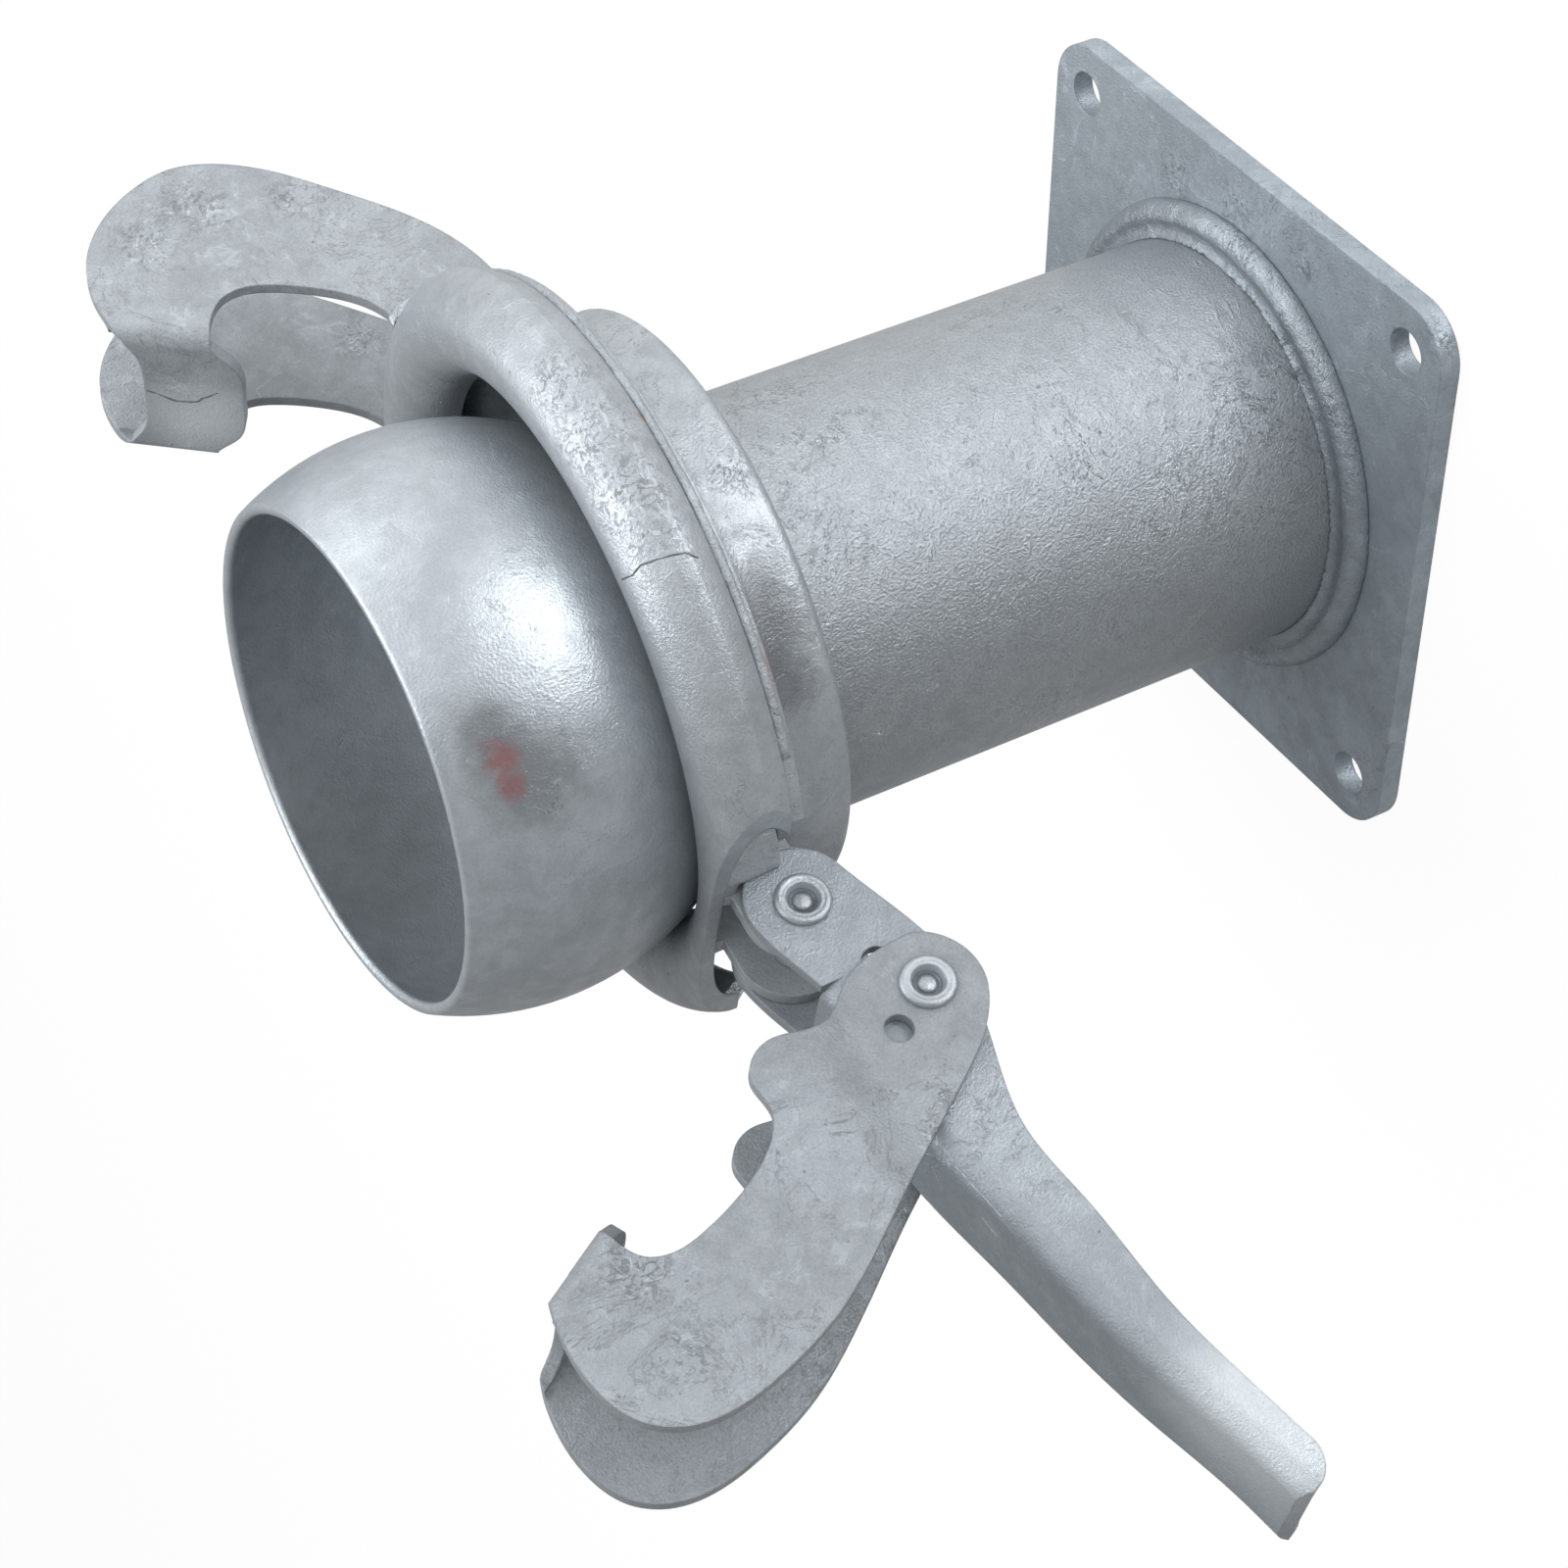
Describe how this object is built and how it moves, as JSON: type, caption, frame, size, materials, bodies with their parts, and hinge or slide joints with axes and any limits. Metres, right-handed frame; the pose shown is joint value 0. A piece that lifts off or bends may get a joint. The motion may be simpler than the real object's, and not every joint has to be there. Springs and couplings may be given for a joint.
{
  "type": "lever lock pipe coupling adapter",
  "caption": "Ball-end lever lock pipe coupling on a square bolt-down flange: turning closing ring with a fixed hook and a lever-driven hook that pull a mating half on",
  "frame": {"origin": "centre of the flange's back face, the face that is bolted down", "axes": "+Z along the pipe from the flange to the ball end; +X and +Y along the flange's edges; the lever lies towards +X and a little -Y"},
  "size_m": [0.4204, 0.1907, 0.2898],
  "materials": {
    "galvanised_plate": "hot-dip galvanised steel plate, dull grey with soft mottling",
    "galvanised_tube": "hot-dip galvanised steel tube, satin with fine spangle",
    "galvanised_pressing": "hot-dip galvanised pressed steel, brighter satin, slightly mottled",
    "galvanised_weld": "galvanised weld bead, bright and uneven",
    "galvanised_lever": "galvanised folded sheet steel, satin with scratches",
    "zinc_rivet": "galvanised rivet steel, satin"
  },
  "bodies": {
    "base": {"flange_plate": "galvanised_plate", "pipe_tube": "galvanised_tube", "flange_weld": "galvanised_weld", "pipe_end_weld": "galvanised_weld", "ball_cup": "galvanised_pressing", "ball_weld": "galvanised_weld"},
    "ring": {"ring_hood": "galvanised_pressing", "ring_sleeve": "galvanised_pressing", "ring_seam_weld": "galvanised_weld", "lug_ear_near": "galvanised_plate", "lug_ear_far": "galvanised_plate", "lug_weld_near": "galvanised_weld", "lug_weld_far": "galvanised_weld", "fixed_hook": "galvanised_lever", "fixed_hook_welds": "galvanised_weld"},
    "lever": {"lever_handle": "galvanised_lever", "lever_rivet": "zinc_rivet"},
    "hook": {"moving_hook": "galvanised_lever", "hook_rivet": "zinc_rivet"}
  },
  "joints": [
    {"name": "ring_spin", "type": "hinge", "parent": "base", "child": "ring", "pos_m": [0, 0, 0.1848], "axis": [0, 0, 1], "continuous": true},
    {"name": "lever_pivot", "type": "hinge", "parent": "ring", "child": "lever", "pos_m": [0.08437, -0.02263, 0.18574], "axis": [0.2938, 0.9527, 0.0782], "range_deg": [-20, 75]},
    {"name": "hook_pivot", "type": "hinge", "parent": "lever", "child": "hook", "pos_m": [0.1162, -0.03134, 0.17233], "axis": [0.2938, 0.9527, 0.0782], "range_deg": [-80, 25]}
  ],
  "couplings": [
    {"joint": "hook_pivot", "follows": "lever_pivot", "ratio": -1.047}
  ]
}
